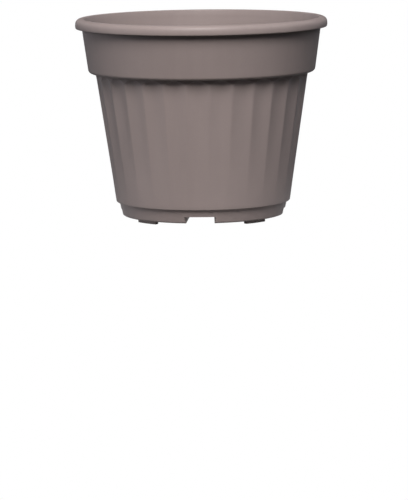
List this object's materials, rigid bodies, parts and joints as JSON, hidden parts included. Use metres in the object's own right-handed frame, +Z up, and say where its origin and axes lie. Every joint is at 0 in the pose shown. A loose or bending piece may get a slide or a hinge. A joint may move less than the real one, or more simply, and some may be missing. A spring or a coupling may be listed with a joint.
{
  "type": "plastic plant pot",
  "caption": "Empty round tapered plant pot with a rolled rim, a plain band, a fluted body and a stepped base ring with drain channels and feet.",
  "frame": {"origin": "on the pot's axis, in the plane on which the four feet stand", "axes": "+Z up along the pot's axis, -Y towards the drain channel that faces the front, +X to the right seen from the front"},
  "size_m": [0.19, 0.19, 0.1511],
  "materials": {
    "pot_plastic": "satin taupe plastic as it leaves the mould, with a very fine grain and no paint"
  },
  "bodies": {
    "root": {"pot": "pot_plastic"}
  },
  "joints": []
}
